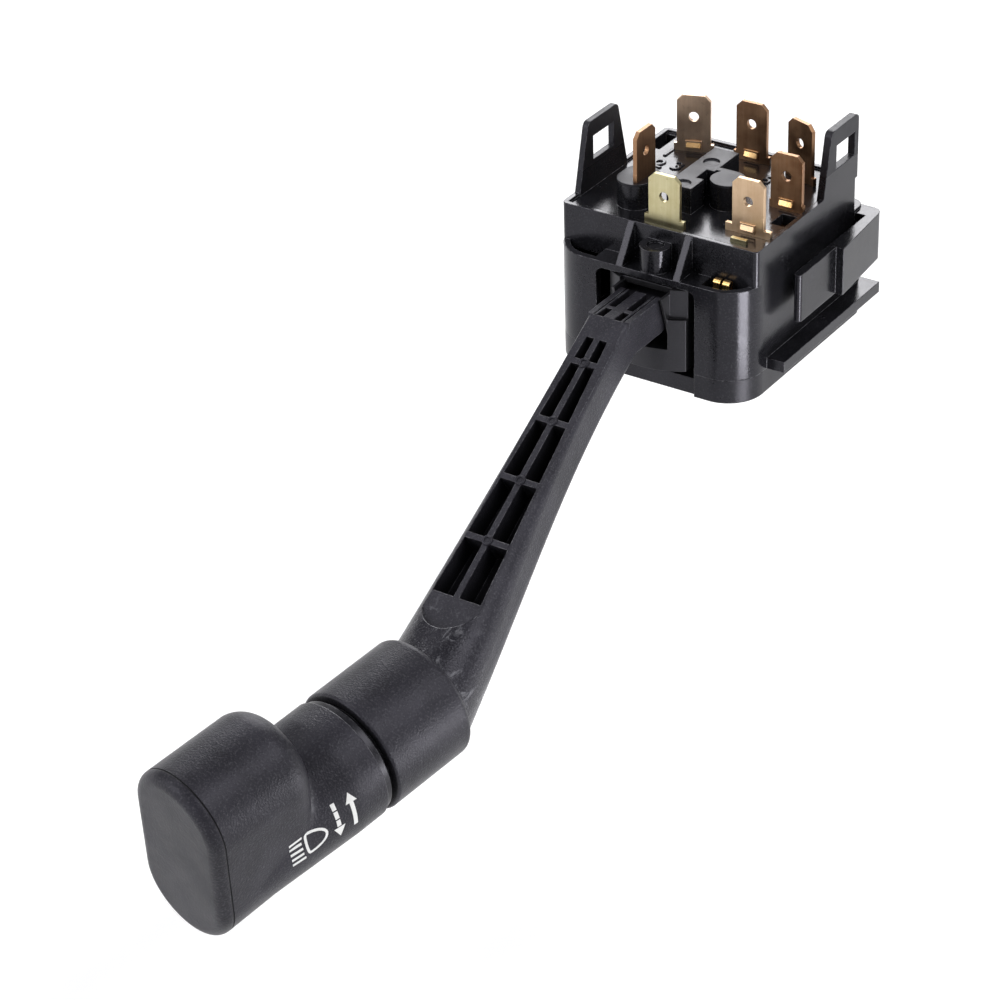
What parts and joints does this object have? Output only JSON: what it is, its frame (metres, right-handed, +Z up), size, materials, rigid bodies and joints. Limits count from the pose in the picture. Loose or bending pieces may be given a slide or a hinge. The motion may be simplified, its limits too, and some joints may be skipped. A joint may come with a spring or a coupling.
{
  "type": "combination stalk switch",
  "caption": "Steering column stalk switch: a moulded base with blade terminals and latch ears, and a bent lever with a knob that turns for signals and dips for headlamps.",
  "frame": {"origin": "centre of the base's underside", "axes": "+Z up towards the blade terminals, -Y towards the lever, +X to the right seen from the lever"},
  "size_m": [0.0504, 0.1785, 0.088],
  "materials": {
    "base_plastic": "moulded black, glossy",
    "lever_plastic": "moulded black, fine grain",
    "inner_plastic": "moulded black, smooth",
    "copper_tab": "stamped copper alloy",
    "yellow_brass": "stamped yellow brass",
    "steel": "turned steel"
  },
  "bodies": {
    "base": {"housing": "base_plastic", "base_cover": "base_plastic", "terminal_left_turn": "copper_tab", "terminal_flasher_feed": "copper_tab", "terminal_right_turn": "copper_tab", "terminal_main_beam": "copper_tab", "terminal_dipped_beam": "copper_tab", "terminal_flash_feed": "yellow_brass", "terminal_lamp_feed": "copper_tab", "contact_strip": "yellow_brass", "contact_leaf": "yellow_brass", "turn_detent_cam": "inner_plastic", "rocker_pin": "steel", "cancel_pawl_pin": "steel"},
    "carrier": {"turn_carrier": "inner_plastic", "dip_pivot_pin": "steel", "turn_detent_spring": "steel", "turn_contact_bridge": "yellow_brass", "turn_contact_spring": "steel"},
    "turn_plunger": {"turn_detent_plunger": "steel"},
    "lever": {"lever_arm": "lever_plastic", "knob_collar": "lever_plastic", "knob_ring": "base_plastic", "knob_grip": "lever_plastic", "knob_end_cap": "lever_plastic", "dip_detent_spring": "steel"},
    "dip_plunger": {"dip_detent_plunger": "steel"},
    "rocker": {"beam_rocker": "inner_plastic", "beam_contact_bridge": "yellow_brass"},
    "pawl": {"cancel_pawl": "inner_plastic"}
  },
  "joints": [
    {"name": "turn_hinge", "type": "hinge", "parent": "base", "child": "carrier", "pos_m": [0.0005, -0.0194, 0.0152], "axis": [0, 0, 1], "range_deg": [-12, 12]},
    {"name": "turn_plunger_slide", "type": "slide", "parent": "carrier", "child": "turn_plunger", "axis": [0, 1, 0], "range_m": [0, 0.0009]},
    {"name": "dip_hinge", "type": "hinge", "parent": "carrier", "child": "lever", "pos_m": [0.0005, -0.0136, 0.0152], "axis": [-1, 0, 0], "range_deg": [-7, 7]},
    {"name": "dip_plunger_slide", "type": "slide", "parent": "lever", "child": "dip_plunger", "axis": [0, 1, 0], "range_m": [0, 0.0007]},
    {"name": "beam_rocker_hinge", "type": "hinge", "parent": "base", "child": "rocker", "pos_m": [0.0005, -0.012, 0.0228], "axis": [-1, 0, 0], "range_deg": [-10, 10]},
    {"name": "cancel_pawl_hinge", "type": "hinge", "parent": "base", "child": "pawl", "pos_m": [0.0005, 0.0184, 0.0167], "axis": [0, 0, 1], "range_deg": [-15, 15], "stiffness_Nm_per_rad": 0.004}
  ],
  "couplings": [
    {"joint": "beam_rocker_hinge", "follows": "dip_hinge", "ratio": 1.42}
  ]
}
